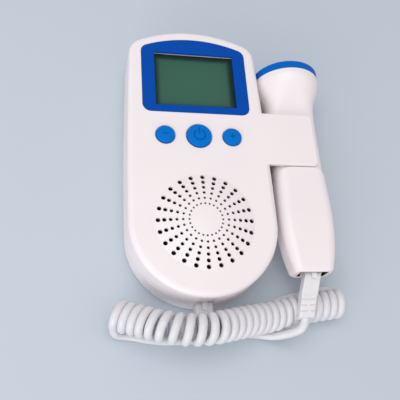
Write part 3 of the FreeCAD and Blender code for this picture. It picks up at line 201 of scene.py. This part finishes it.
def cell_material(name, head, tail):
    """A cell's sleeve, its band by the head and its bare steel ends, set by their places along Y."""
    material, tree, surface = new_material("cell_sleeve_" + name)
    place = add(tree, "ShaderNodeTexCoord").outputs["Object"]
    along = add(tree, "ShaderNodeMapRange", {
        "Value": add(tree, "ShaderNodeSeparateXYZ", {0: place}).outputs["Y"],
        "From Min": tail, "From Max": head,
    })
    ramp = add(tree, "ShaderNodeValToRGB", {"Fac": along.outputs[0]})
    bare = BARE_END * MM / abs(head - tail)
    stops = ((0.0, CAN_STEEL), (bare, SLEEVE), (1 - bare - BAND_SHARE, SLEEVE_BAND), (1 - bare, CAN_STEEL))
    ramp.color_ramp.interpolation = "CONSTANT"
    ramp.color_ramp.elements.remove(ramp.color_ramp.elements[1])
    for position, code in stops[1:]:
        ramp.color_ramp.elements.new(position).color = colour(code)
    ramp.color_ramp.elements[0].color = colour(stops[0][1])
    scuffs = add(tree, "ShaderNodeTexNoise", {
        "Vector": place, "Scale": 1 / (SCUFF_SIZE * MM), "Detail": 5.0})
    gloss = add(tree, "ShaderNodeMapRange", {
        "Value": scuffs.outputs["Fac"], "To Min": SLEEVE_GLOSS[0], "To Max": SLEEVE_GLOSS[1]})
    bump = add(tree, "ShaderNodeBump", {"Height": scuffs.outputs["Fac"], "Distance": SCUFF_DEPTH * MM})
    shader = add(tree, "ShaderNodeBsdfPrincipled", {
        "Base Color": ramp.outputs[0], "Roughness": gloss.outputs[0], "Normal": bump.outputs[0],
        "Metallic": 0.45, "Coat Weight": 0.4,
    })
    tree.links.new(shader.outputs[0], surface)
    return material


for name, nub_up in (("battery_cell_left", True), ("battery_cell_right", False)):
    low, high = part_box(name)
    head, tail = (high.y, low.y) if nub_up else (low.y, high.y)
    dress(cell_material(name, head, tail), name)

# ---------------------------------------------------------------- main board, chips, switches and screws
# A glass-epoxy board with a green solder mask hangs from posts in the front half. Chips are matt black
# epoxy, the key switches black nylon, and every screw is zinc-plated steel.

# solder mask: a glossy green coat that stands up slightly and shows lighter over the copper traces
MASK_GREEN = "#1d5a36"
MASK_OVER_COPPER = "#3b8a52"
TRACE_PITCH = 2.4
TRACE_WIDTH = 0.16
TRACE_HEIGHT = 0.03

board, tree, surface = new_material("green_solder_mask")
place = add(tree, "ShaderNodeTexCoord").outputs["Object"]
cells = add(tree, "ShaderNodeTexVoronoi", {"Vector": place, "Scale": 1 / (TRACE_PITCH * MM)},
            feature="DISTANCE_TO_EDGE")
trace = add(tree, "ShaderNodeMath", {0: cells.outputs["Distance"], 1: TRACE_WIDTH}, operation="LESS_THAN")
mask = add(tree, "ShaderNodeMix", {
    0: trace.outputs[0], 6: colour(MASK_GREEN), 7: colour(MASK_OVER_COPPER)}, data_type="RGBA")
bump = add(tree, "ShaderNodeBump", {"Height": trace.outputs[0], "Distance": TRACE_HEIGHT * MM})
shader = add(tree, "ShaderNodeBsdfPrincipled", {
    "Base Color": mask.outputs[2], "Roughness": 0.3, "Normal": bump.outputs[0], "Coat Weight": 0.3})
tree.links.new(shader.outputs[0], surface)
dress(board, "main_board", "probe_board")
# filled black plastic: a dry dark grey with a weak sheen
black_epoxy = surfaced("moulded_black_epoxy", "#1d1d1f", "#161617",
                       patch=3, roughness=0.5, spread=0.06, grain=0.2, relief=0.004)
dress(black_epoxy, "board_chips", "button_switches", "unit_socket", "probe_socket")
# zinc plate: a cool pale metal, brighter where it is smooth
zinc = surfaced("zinc_plated_steel", "#c8cbd0", "#aeb3ba",
                patch=4, roughness=0.28, spread=0.07, grain=0.25, relief=0.004, metallic=1.0)
dress(zinc, "board_screws", "case_screws", "probe_screws")

# ---------------------------------------------------------------- speaker
# A small full-range driver sits behind the grille on a foam ring: a pressed and blackened steel basket,
# a black pulp-paper cone and a ferrite magnet. Through the holes it is only darkness.

# foam: dead matt, pitted by its cut cells
foam = surfaced("closed_cell_foam", "#2a2a2c", "#1c1c1e",
                patch=1.2, roughness=0.9, spread=0.05, grain=0.4, relief=0.05)
dress(foam, "speaker_gasket")
# blackened steel: nearly black with a dim metal sheen
black_steel = surfaced("blackened_steel", "#121314", "#0b0c0d",
                       patch=5, roughness=0.5, spread=0.08, grain=0.3, relief=0.004, metallic=0.6)
dress(black_steel, "speaker_frame")
# pulp paper: black and fibrous, with no shine
paper = surfaced("black_pulp_paper", "#0c0d0e", "#060707",
                 patch=1.5, roughness=0.88, spread=0.05, grain=0.35, relief=0.03)
dress(paper, "speaker_cone")
# sintered ferrite: a stony dark grey
ferrite = surfaced("sintered_ferrite", "#3a3b3d", "#2c2d2f",
                   patch=2.5, roughness=0.62, spread=0.08, grain=0.3, relief=0.02)
dress(ferrite, "speaker_magnet")

# ---------------------------------------------------------------- display
# A reflective liquid-crystal glass, grey green when it is off, over a white light guide. A clear acrylic
# window covers it, and a blue polycarbonate bezel with a satin face frames the window.

# the light guide: milky white acrylic
guide = surfaced("white_light_guide", "#f0f1ee", "#e4e6e1",
                 patch=8, roughness=0.35, spread=0.05, grain=0.5, relief=0.004)
dress(guide, "lcd_backlight")

# liquid-crystal glass: a grey green with faint square cells; a painted shade darkens it towards its frame and
# a little towards its upper end
LCD_GREEN = "#3d6b59"
LCD_GREEN_LIGHTER_LOW_END = "#42705d"
LCD_PAINTED_EDGE_SHADE = "#1d3a30"
LCD_SHADE_INSET = 2.1
LCD_SHADE_FADE = 3.0
CELL_PITCH = 0.6
CELL_DEPTH = 0.002

lcd_low, lcd_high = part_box("lcd_panel")
middle = (lcd_low + lcd_high) / 2
lcd, tree, surface = new_material("liquid_crystal_glass")
place = add(tree, "ShaderNodeTexCoord").outputs["Object"]
apart = add(tree, "ShaderNodeVectorMath", {0: place, 1: middle}, operation="SUBTRACT")
apart = add(tree, "ShaderNodeVectorMath", {0: apart.outputs[0]}, operation="ABSOLUTE")
inward = add(tree, "ShaderNodeVectorMath", {0: lcd_high - middle, 1: apart.outputs[0]}, operation="SUBTRACT")
reach = add(tree, "ShaderNodeSeparateXYZ", {0: inward.outputs[0]})
nearest = add(tree, "ShaderNodeMath", {0: reach.outputs["X"], 1: reach.outputs["Y"]}, operation="MINIMUM")
# painted shade: the glass darkens in a band inside its frame, where the bezel's recess would shade it
edge = add(tree, "ShaderNodeMapRange", {
    "Value": nearest.outputs[0], "From Min": LCD_SHADE_INSET * MM, "From Max": (LCD_SHADE_INSET + LCD_SHADE_FADE) * MM},
    interpolation_type="SMOOTHSTEP")
# painted shade: the glass is a little darker towards its upper end than at its lower end
height = add(tree, "ShaderNodeMapRange", {
    "Value": add(tree, "ShaderNodeSeparateXYZ", {0: place}).outputs["Y"],
    "From Min": lcd_low.y, "From Max": lcd_high.y})
green = add(tree, "ShaderNodeMix", {0: height.outputs[0], 6: colour(LCD_GREEN_LIGHTER_LOW_END), 7: colour(LCD_GREEN)},
            data_type="RGBA")
edge_shaded = add(tree, "ShaderNodeMix", {0: edge.outputs[0], 6: colour(LCD_PAINTED_EDGE_SHADE), 7: green.outputs[2]},
             data_type="RGBA")
pixels = add(tree, "ShaderNodeTexVoronoi", {
    "Vector": place, "Scale": 1 / (CELL_PITCH * MM), "Randomness": 0.0}, feature="DISTANCE_TO_EDGE")
bump = add(tree, "ShaderNodeBump", {"Height": pixels.outputs["Distance"], "Distance": CELL_DEPTH * MM})
shader = add(tree, "ShaderNodeBsdfPrincipled", {
    "Base Color": edge_shaded.outputs[2], "Roughness": 0.45, "Normal": bump.outputs[0],
    "Specular IOR Level": 0.1})
tree.links.new(shader.outputs[0], surface)
dress(lcd, "lcd_panel")

# clear acrylic: all but invisible, with a polished face that handling has hazed a little
HAZE_SIZE = 9
WINDOW_GLOSS = (0.03, 0.09)
WINDOW_TINT = "#22302c"
WINDOW_ALPHA = 0.06

window, tree, surface = new_material("clear_acrylic")
place = add(tree, "ShaderNodeTexCoord").outputs["Object"]
haze = add(tree, "ShaderNodeTexNoise", {"Vector": place, "Scale": 1 / (HAZE_SIZE * MM), "Detail": 4.0})
gloss = add(tree, "ShaderNodeMapRange", {
    "Value": haze.outputs["Fac"], "To Min": WINDOW_GLOSS[0], "To Max": WINDOW_GLOSS[1]})
shader = add(tree, "ShaderNodeBsdfPrincipled", {
    "Base Color": colour(WINDOW_TINT), "Roughness": gloss.outputs[0], "IOR": 1.49, "Alpha": WINDOW_ALPHA})
tree.links.new(shader.outputs[0], surface)
dress(window, "display_window")
# polycarbonate: a deep royal blue, satin, with hardly a highlight
blue_bezel = surfaced("satin_blue_polycarbonate", "#004cae", "#0046a2",
                      patch=16, roughness=0.45, spread=0.04, grain=0.4, relief=0.003, specular=0.06)
dress(blue_bezel, "display_bezel")

# ---------------------------------------------------------------- keys
# Three keys of a brighter blue ABS stand through the front: a large one for power between two small ones
# for the volume. Each has a raised mark, painted a darker blue as shade: the power sign, a minus and a plus.

# blue ABS: a bright sky blue, satin
blue_key = surfaced("moulded_blue_abs", "#0074cd", "#006ec4",
                    patch=7, roughness=0.38, spread=0.05, grain=0.4, relief=0.004, specular=0.05)
dress(blue_key, "button_left", "button_power", "button_right")
# the marks: the same plastic a little duller, with a painted shade that colours them a darker blue, as a
# sunken mark would look
blue_mark_painted_shade = surfaced("marks_blue_painted_shade", "#005fb0", "#0059a6",
                     patch=7, roughness=0.42, spread=0.05, grain=0.4, relief=0.004, specular=0.05)

MARK_SIDES = 10
MARK_RADIUS = 0.3
MARK_SUNK = 0.12
# edges that turn by more than this stay crisp, as round a tube's closed ends
CAP_ANGLE = math.radians(50)
POWER_RING = 2.6
POWER_GAP = 0.5
POWER_BAR = (0.8, 3.9)
RING_STEPS = 28
SIGN_REACH = 1.35


def swept(name, line, radius, sides=14):
    """A round tube that follows a line of points and is closed at both ends; its rings don't twist."""
    vertices = []
    side = (line[1] - line[0]).orthogonal().normalized()
    for i, point in enumerate(line):
        along = (line[min(i + 1, len(line) - 1)] - line[max(i - 1, 0)]).normalized()
        side = (side - along * side.dot(along)).normalized()
        across = along.cross(side)
        for k in range(sides):
            turn = 2 * math.pi * k / sides
            vertices.append(point + (side * math.cos(turn) + across * math.sin(turn)) * radius)
    faces = [list(range(sides))[::-1], [len(vertices) - sides + k for k in range(sides)]]
    for i in range(len(line) - 1):
        for k in range(sides):
            after = (k + 1) % sides
            faces.append([i * sides + k, i * sides + after, (i + 1) * sides + after, (i + 1) * sides + k])
    mesh = bpy.data.meshes.new(name)
    mesh.from_pydata(vertices, [], faces)
    mesh.polygons.foreach_set("use_smooth", [len(face) == 4 for face in faces])
    mesh.set_sharp_from_angle(angle=CAP_ANGLE)
    piece = bpy.data.objects.new(name, mesh)
    bpy.context.scene.collection.objects.link(piece)
    return piece


def raised_mark(name, button, strokes):
    """Raised strokes on a key's top, each a list of places in millimetres from the key's middle."""
    low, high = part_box(button)
    centre = Vector(((low.x + high.x) / 2, (low.y + high.y) / 2, high.z - MARK_SUNK * MM))
    for i, stroke in enumerate(strokes):
        line = [centre + Vector((x, y, 0)) * MM for x, y in stroke]
        piece = swept(f"{name}_{i}", line, MARK_RADIUS * MM, MARK_SIDES)
        piece.data.materials.append(blue_mark_painted_shade)
        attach(piece, button)


ring_turns = [POWER_GAP + (2 * math.pi - 2 * POWER_GAP) * i / RING_STEPS for i in range(RING_STEPS + 1)]
raised_mark("power_sign", "button_power", [
    [(POWER_RING * math.sin(turn), POWER_RING * math.cos(turn)) for turn in ring_turns],
    [(0, y) for y in POWER_BAR],
])
minus = [(-SIGN_REACH, 0), (SIGN_REACH, 0)]
raised_mark("volume_down_sign", "button_left", [minus])
raised_mark("volume_up_sign", "button_right", [minus, [(y, x) for x, y in minus]])

# ---------------------------------------------------------------- front shell
# The front half of the case carries the display, the keys, the domed grille and the front jaw of the
# probe's holder. It is the same white ABS as the back.

dress(white_abs, "front_shell")

# ---------------------------------------------------------------- plugs and boots
# Modular plugs of the telephone kind join the curly cord to the unit and the probe. Bodies and boots are
# moulded in one white nylon. A thin black rim lines the handle's mouth round the probe's jack: partly the
# jack's black housing, partly a painted shade for the dark inside of the mouth.

# nylon: a cooler white than the case and a little glossier
plug_nylon = surfaced("moulded_white_nylon", "#eceaec", "#e2e0e3",
                      patch=6, roughness=0.34, spread=0.05, grain=0.3, relief=0.003, ior=1.53)
dress(plug_nylon, "unit_plug", "unit_boot", "probe_plug", "probe_boot")

# the mouth is wider at its roof than at its floor; the rim runs round its roof and sides and stops on
# its floor, short of the plug
JACK_WALL = 0.6
MOUTH_LOW_HALF = 6.35
MOUTH_HIGH_HALF = 6.85
MOUTH_OVER_JACK = -0.1
RIM_GAP = 0.02
RIM_WALL = 0.3
RIM_FOOT = 4.6

jack_low, jack_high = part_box("probe_socket")
handle_low, handle_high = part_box("probe_rear_shell")
floor_z = jack_low.z / MM + JACK_WALL
roof_z = jack_high.z / MM + MOUTH_OVER_JACK
rim_vertices = []
for inset in (RIM_GAP, RIM_GAP + RIM_WALL):
    half = [(RIM_FOOT, floor_z + inset), (MOUTH_LOW_HALF - inset, floor_z + inset),
            (MOUTH_HIGH_HALF - inset, roof_z - inset)]
    profile = half + [(-x, z) for x, z in reversed(half)]
    for y in (handle_low.y / MM, jack_low.y / MM - RIM_GAP):
        rim_vertices += [Vector(((jack_low.x + jack_high.x) / 2 / MM + x, y, z)) * MM for x, z in profile]
corners = len(rim_vertices) // 4
rim_faces = [(0, 2 * corners, 3 * corners, corners),
             (corners - 1, 2 * corners - 1, 4 * corners - 1, 3 * corners - 1)]
for first, second in ((0, 1), (1, 3), (3, 2), (2, 0)):
    for k in range(corners - 1):
        near, far = first * corners + k, second * corners + k
        rim_faces.append((near, far, far + 1, near + 1))
# the rim is black partly as the jack's own housing and partly as a painted shade inside the handle's mouth
rim_mesh = bpy.data.meshes.new("probe_jack_rim_mouth_shade")
rim_mesh.from_pydata(rim_vertices, [], rim_faces)
rim_mesh.materials.append(black_epoxy)
rim = bpy.data.objects.new("probe_jack_rim_mouth_shade", rim_mesh)
bpy.context.scene.collection.objects.link(rim)
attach(rim, "probe")

# ---------------------------------------------------------------- probe
# Two white ABS halves held by screws from the back, and a blue cap that seals the transducer: a pair of
# half-round ceramic crystals on a grey backing of filled epoxy.

dress(white_abs, "probe_front_shell", "probe_rear_shell")
# the cap's blue: between the keys' and the bezel's, satin
blue_cap = surfaced("moulded_blue_cap", "#0067c5", "#005fb9",
                    patch=9, roughness=0.38, spread=0.05, grain=0.4, relief=0.004, specular=0.05)
dress(blue_cap, "probe_cap")
# silvered ceramic: a pale sandy coat with a dull silver cast
ceramic = surfaced("silvered_ceramic", "#d8cfb8", "#c9bfa4",
                   patch=3, roughness=0.4, spread=0.08, grain=0.25, relief=0.006)
dress(ceramic, "probe_crystals")
# filled epoxy: grey and grainy, like fine mortar
backing = surfaced("filled_epoxy", "#5c5f63", "#4b4e52",
                   patch=1.5, roughness=0.6, spread=0.08, grain=0.3, relief=0.02)
dress(backing, "probe_backing")

# ---------------------------------------------------------------- curly cord
# One flexible lead of white PVC, 3.8 mm thick: it leaves the unit's boot, runs round the right end and
# lies as a wound curl across the front of the object, then comes back along the surface to the probe.

CORD_DIAMETER = 3.8
UNIT_LEAD = [
    (0.0, -0.0400, 0.0093), (0.0, -0.0423, 0.0093), (0.0015, -0.0448, 0.0092), (0.0044, -0.0465, 0.0088),
    (0.0079, -0.0465, 0.0079), (0.0112, -0.0448, 0.0066), (0.0147, -0.0416, 0.0049),
    (0.0190, -0.0380, 0.0030), (0.0248, -0.0349, 0.00195), (0.0325, -0.0322, 0.00195),
    (0.0405, -0.0294, 0.00195), (0.0480, -0.0278, 0.00195), (0.0544, -0.0264, 0.00195),
    (0.0594, -0.0254, 0.0021), (0.0628, -0.0256, 0.0027), (0.0648, -0.0275, 0.0048),
    (0.0644, -0.0279, 0.0070),
]
COIL = [
    (-0.0374, -0.0368, 0.0091), (-0.0344, -0.0379, 0.0100), (-0.0301, -0.0394, 0.0115),
    (-0.0254, -0.0412, 0.0135), (-0.0203, -0.0430, 0.0157), (-0.0144, -0.0448, 0.0177),
    (-0.0079, -0.0456, 0.0189), (-0.0012, -0.0455, 0.0189), (0.0048, -0.0446, 0.0177),
    (0.0121, -0.0429, 0.0151), (0.0198, -0.0411, 0.0121), (0.0287, -0.0393, 0.0092),
    (0.0381, -0.0372, 0.0073), (0.0452, -0.0356, 0.0070), (0.0546, -0.0342, 0.0070),
    (0.0650, -0.0330, 0.0070),
]
PROBE_LEAD = [
    (0.0435, -0.0415, 0.0173), (0.0432, -0.0436, 0.0172), (0.0417, -0.0461, 0.0154),
    (0.0398, -0.0466, 0.0126), (0.0372, -0.0469, 0.0093), (0.0342, -0.0470, 0.0064),
    (0.0308, -0.0466, 0.0040), (0.0266, -0.0454, 0.0022), (0.0200, -0.0447, 0.00195),
    (0.0120, -0.0450, 0.00195), (0.0030, -0.0459, 0.00195), (-0.0060, -0.0469, 0.00195),
    (-0.0155, -0.0472, 0.00195), (-0.0243, -0.0460, 0.00195), (-0.0300, -0.0446, 0.00195),
    (-0.0332, -0.0442, 0.00195), (-0.0354, -0.0441, 0.0025), (-0.0372, -0.0439, 0.0037),
    (-0.0384, -0.0434, 0.0053),
]
# the lead's last bit goes on from the curl's end, this far along it
LEAD_RUN_OUT = 1.6
# the turns: their own radius, how far they stand apart where they touch, and where handling has spread them
TURN_RADIUS = 5.1
TURN_WOBBLE = 0.12
WOBBLE_SEED = 5
CLOSE_PITCH = 3.83
SPREAD = 0.9
SPREAD_PLACE = 23.0
SPREAD_REACH = 9.0
TURN_STEPS = 26
BEND_REACH = 6
FIRST_PHASE = 0.25
LAST_HALF = 0.5


def smooth_line(points, steps=12):
    """The points of the smooth line that a cord takes by its chosen points, read from a NURBS spline."""
    curve = bpy.data.curves.new("cord_route", "CURVE")
    curve.dimensions = "3D"
    curve.resolution_u = steps
    spline = curve.splines.new("NURBS")
    spline.points.add(len(points) - 1)
    for item, point in zip(spline.points, points):
        item.co = (*point, 1)
    spline.order_u = 3
    spline.use_endpoint_u = True
    holder = bpy.data.objects.new("cord_route", curve)
    mesh = bpy.data.meshes.new_from_object(holder)
    line = [vertex.co.copy() for vertex in mesh.vertices]
    bpy.data.objects.remove(holder)
    bpy.data.meshes.remove(mesh)
    bpy.data.curves.remove(curve)
    return line


def wound(line):
    """The helix of a curly cord about a line: it starts behind the line's first end, on its way up, and
    stops in front of the last, on its way down. Neighbouring turns touch on the inside of each bend."""
    reaches = [0.0]
    for before, after in zip(line, line[1:]):
        reaches.append(reaches[-1] + (after - before).length)
    bends = [0.0] * len(line)
    for i in range(2, len(line) - 2):
        back = (line[i] - line[i - 2]).normalized()
        onward = (line[i + 2] - line[i]).normalized()
        bends[i] = back.angle(onward) / ((line[i + 2] - line[i - 2]).length / 2)
    turns = [0.0]
    for i in range(1, len(line)):
        near = bends[max(i - BEND_REACH, 0):i + BEND_REACH + 1]
        bend = sum(near) / len(near)
        from_left = reaches[-1] - reaches[i]
        loose = SPREAD * math.exp(-((from_left / MM - SPREAD_PLACE) / SPREAD_REACH) ** 2)
        pitch = CLOSE_PITCH / (1 - bend * TURN_RADIUS * MM) + loose
        turns.append(turns[-1] + (reaches[i] - reaches[i - 1]) / (pitch * MM))
    whole = round(turns[-1])
    chance = random.Random(WOBBLE_SEED)
    wobbles = [chance.uniform(-TURN_WOBBLE, TURN_WOBBLE) for _ in range(whole + 2)]
    helix = []
    i = 0
    for step in range(whole * TURN_STEPS + TURN_STEPS // 2 + 1):
        turn = FIRST_PHASE + step / TURN_STEPS
        place = (turn - FIRST_PHASE) * turns[-1] / (whole + LAST_HALF)
        while i < len(turns) - 2 and turns[i + 1] < place:
            i += 1
        share = (place - turns[i]) / (turns[i + 1] - turns[i])
        centre = line[i].lerp(line[i + 1], share)
        along = (line[min(i + 3, len(line) - 1)] - line[max(i - 2, 0)]).normalized()
        down = (Vector((0, 0, -1)) + along * along.z).normalized()
        side = down.cross(along)
        part = turn - int(turn)
        radius = TURN_RADIUS - wobbles[int(turn)] * math.sin(math.pi * part) ** 2
        angle = 2 * math.pi * turn
        helix.append(centre + (down * math.cos(angle) + side * math.sin(angle)) * radius * MM)
    return helix


# soft PVC: a cool white, satin, slightly darker than the plugs
white_pvc = surfaced("flexible_white_pvc", "#dfdee1", "#d6d5d9",
                     patch=5, roughness=0.36, spread=0.05, grain=0.35, relief=0.004, ior=1.53)
curl_line = smooth_line(UNIT_LEAD)[:-1] + wound(smooth_line(COIL)[::-1])
curl = swept("curly_cord", curl_line, CORD_DIAMETER / 2 * MM)
curl.data.materials.append(white_pvc)
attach(curl, "root")
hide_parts("cord_lead_unit", "cord_coil")

curl_end = curl_line[-1]
run_out = curl_end + (curl_end - curl_line[-2]).normalized() * LEAD_RUN_OUT * MM
lead_line = smooth_line([*PROBE_LEAD, run_out, curl_end])[::-1]
lead = swept("probe_lead", lead_line, CORD_DIAMETER / 2 * MM)
lead.data.materials.append(white_pvc)
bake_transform(lead)
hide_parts("cord_lead_probe")

# ---------------------------------------------------------------- surface, light and camera
# A plain pale surface, a large soft lamp nearly overhead, a soft fill that comes low from the lower left,
# and light from all round. The camera stands beyond the lower end, to the left, and looks up the face.

FLOOR_SIZE = 4.0
# each lamp's name, place, width and power
LAMPS = (
    ("soft_lamp", (-0.14, 0.06, 0.78), 0.6, 2.0),
    ("low_fill", (-0.34, -0.52, 0.19), 0.5, 1.9),
)
AIM = Vector((0.02, 0.03, 0.01))
SKY_COLOUR = "#f8f6f8"
SKY = 0.68
SKY_SEEN = 0.86
CAMERA_PLACE = Vector((-0.0557, -0.0913, 0.2574))
CAMERA_RIGHT = Vector((0.97779674, -0.06594953, 0.19890751))
CAMERA_UP = Vector((-0.01877641, 0.91779713, 0.39660544))
CAMERA_LENS = 52.71
CAMERA_NEAR = 0.01

floor_mesh = bpy.data.meshes.new("floor")
far_x = far_y = FLOOR_SIZE / 2
floor_corners = [(-far_x, -far_y, 0), (far_x, -far_y, 0), (far_x, far_y, 0), (-far_x, far_y, 0)]
floor_mesh.from_pydata(floor_corners, [], [(0, 1, 2, 3)])
floor = bpy.data.objects.new("floor", floor_mesh)
bpy.context.scene.collection.objects.link(floor)
# the surface: pale grey blue, matt and almost even
floor_mesh.materials.append(surfaced("pale_floor", "#c4ced8", "#c1cbd5",
                                     patch=300, roughness=0.75, spread=0.05, grain=3, relief=0.01))

for name, place, size, power in LAMPS:
    lamp = bpy.data.objects.new(name, bpy.data.lights.new(name, "AREA"))
    lamp.data.size = size
    lamp.data.energy = power
    lamp.location = place
    lamp.rotation_euler = (AIM - Vector(place)).to_track_quat("-Z", "Y").to_euler()
    bpy.context.scene.collection.objects.link(lamp)

world = bpy.data.worlds.new("all_round_light")
world.use_nodes = True
tree = world.node_tree
tree.nodes.clear()
rays = add(tree, "ShaderNodeLightPath").outputs
seen = add(tree, "ShaderNodeMath", {0: rays["Is Camera Ray"], 1: rays["Is Glossy Ray"]}, operation="MAXIMUM")
seen = add(tree, "ShaderNodeMath", {0: seen.outputs[0], 1: rays["Is Transmission Ray"]}, operation="MAXIMUM")
strength = add(tree, "ShaderNodeMapRange", {"Value": seen.outputs[0], "To Min": SKY, "To Max": SKY_SEEN})
sky = add(tree, "ShaderNodeBackground", {"Color": colour(SKY_COLOUR), "Strength": strength.outputs[0]})
add(tree, "ShaderNodeOutputWorld", {"Surface": sky.outputs[0]})
bpy.context.scene.world = world

camera = bpy.data.objects.new("camera", bpy.data.cameras.new("camera"))
camera.data.lens = CAMERA_LENS
camera.data.clip_start = CAMERA_NEAR
turn = Matrix((CAMERA_RIGHT, CAMERA_UP, CAMERA_RIGHT.cross(CAMERA_UP))).transposed()
camera.matrix_world = Matrix.Translation(CAMERA_PLACE) @ turn.to_4x4()
bpy.context.scene.collection.objects.link(camera)
bpy.context.scene.camera = camera
bpy.context.scene.view_settings.view_transform = "Standard"
